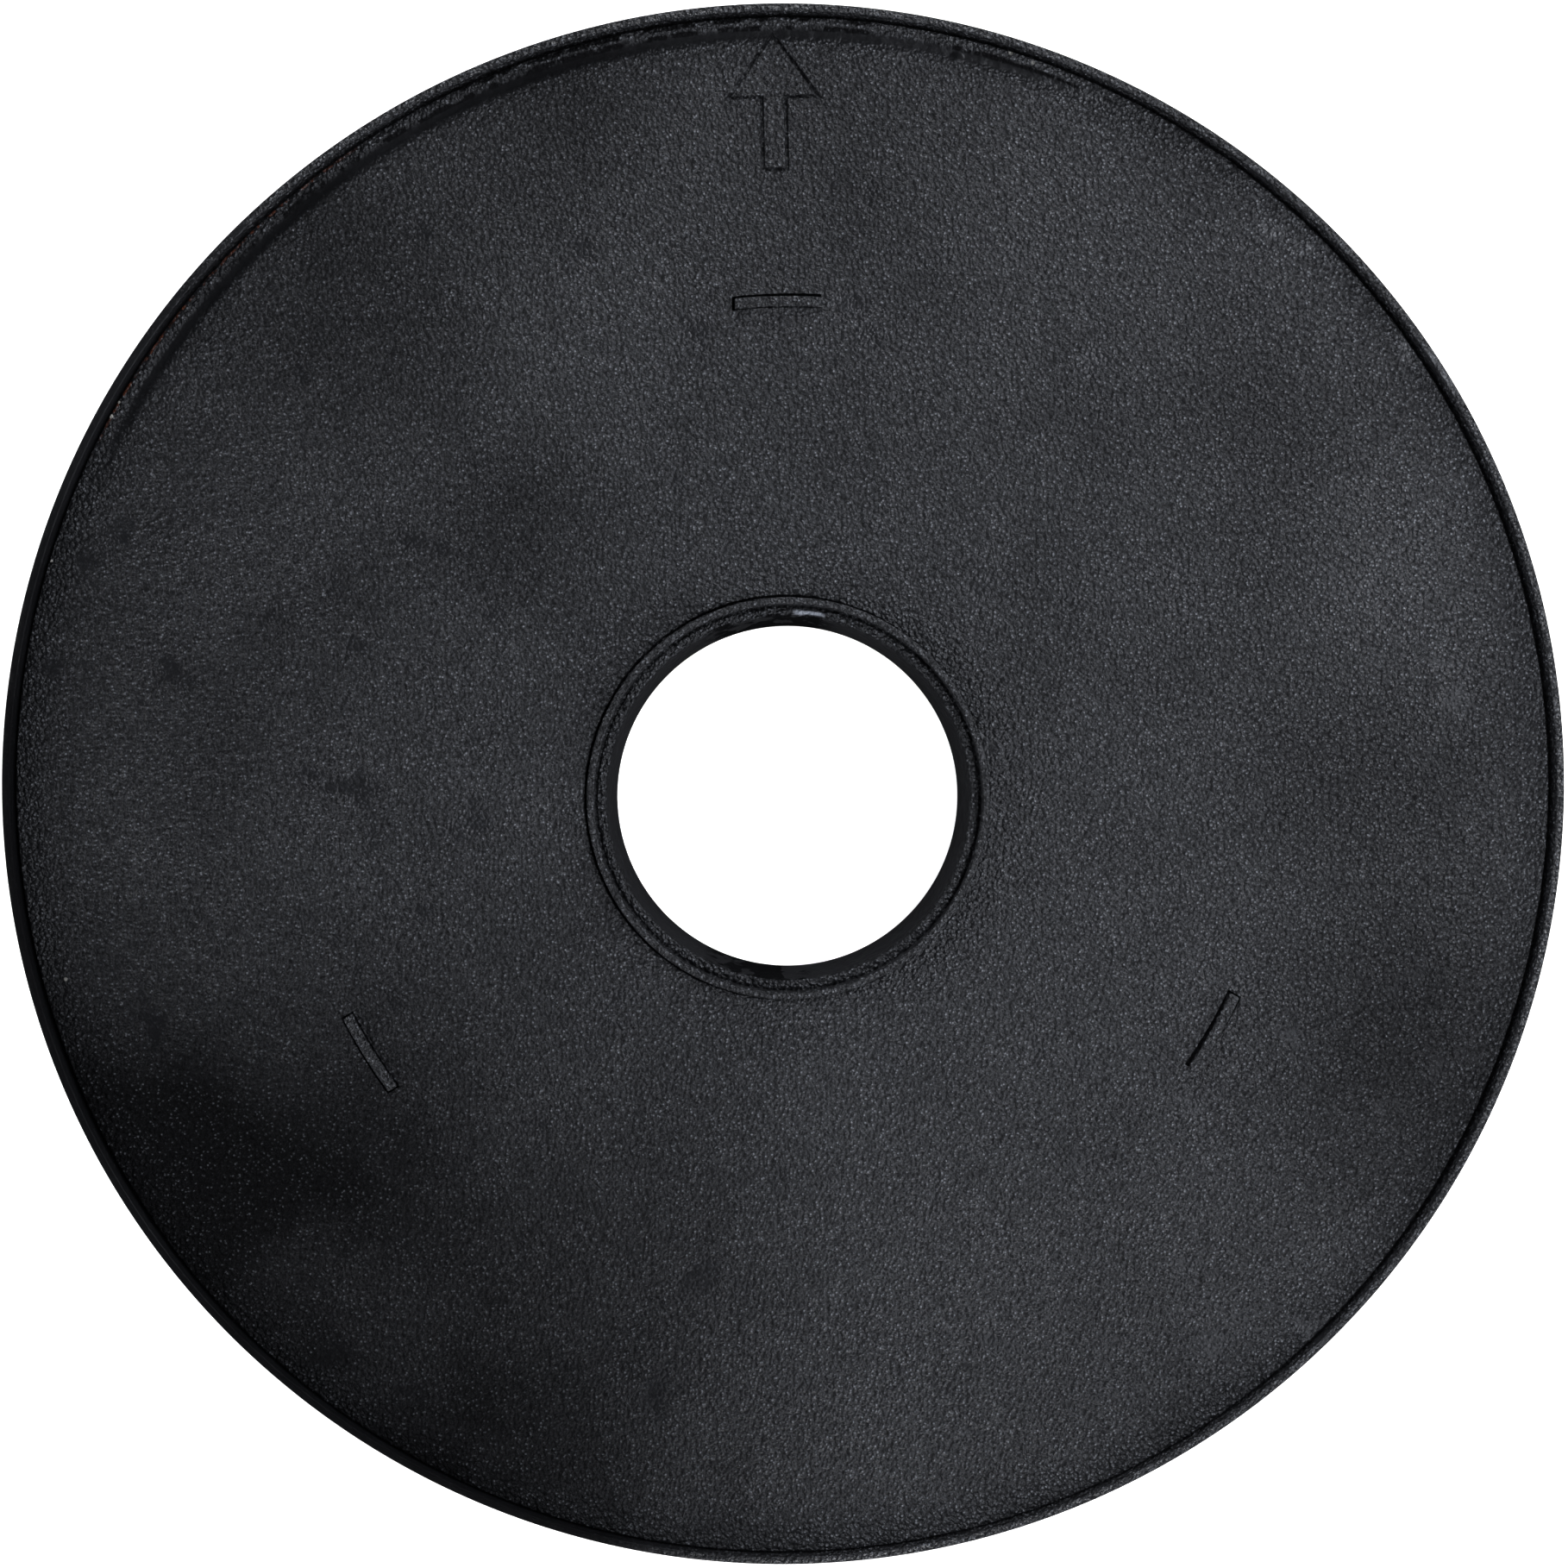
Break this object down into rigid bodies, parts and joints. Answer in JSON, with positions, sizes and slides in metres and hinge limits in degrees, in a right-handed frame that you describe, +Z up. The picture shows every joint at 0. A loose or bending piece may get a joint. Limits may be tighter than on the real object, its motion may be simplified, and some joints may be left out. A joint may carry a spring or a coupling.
{
  "type": "sundial dial plate",
  "caption": "Black ring-shaped dial plate of a garden sundial, laid in a thin raised rim round a stepped centre bush, on tenoned lugs with rubber feet.",
  "frame": {"origin": "on the ground under the middle of the dial, at the bottom centre of the bounding box", "axes": "+Z up, square to the dial face; +Y towards the noon arrow; +X to the right of the face"},
  "size_m": [0.3, 0.3, 0.015],
  "materials": {
    "black_coat": "coarse-grained satin powder coat, near black and slightly blue",
    "foot_rubber": "matt moulded rubber",
    "zinc_plate": "bright zinc plating, slightly dulled"
  },
  "bodies": {
    "root": {"dial_plate": "black_coat", "rim_hoop": "black_coat", "rim_ledge": "black_coat", "centre_bush": "black_coat", "tenon_lug_1": "black_coat", "tenon_lug_2": "black_coat", "tenon_lug_3": "black_coat", "foot_pad_1": "foot_rubber", "foot_pad_2": "foot_rubber", "foot_pad_3": "foot_rubber", "foot_screw_1": "zinc_plate", "foot_screw_2": "zinc_plate", "foot_screw_3": "zinc_plate", "foot_nut_1": "zinc_plate", "foot_nut_2": "zinc_plate", "foot_nut_3": "zinc_plate", "rim_stud_1": "zinc_plate", "rim_stud_2": "zinc_plate", "rim_stud_3": "zinc_plate", "rim_stud_4": "zinc_plate", "rim_stud_5": "zinc_plate", "rim_stud_6": "zinc_plate", "rim_nut_1": "zinc_plate", "rim_nut_2": "zinc_plate", "rim_nut_3": "zinc_plate", "rim_nut_4": "zinc_plate", "rim_nut_5": "zinc_plate", "rim_nut_6": "zinc_plate", "bush_stud_1": "zinc_plate", "bush_stud_2": "zinc_plate", "bush_stud_3": "zinc_plate", "bush_nut_1": "zinc_plate", "bush_nut_2": "zinc_plate", "bush_nut_3": "zinc_plate"}
  },
  "joints": []
}
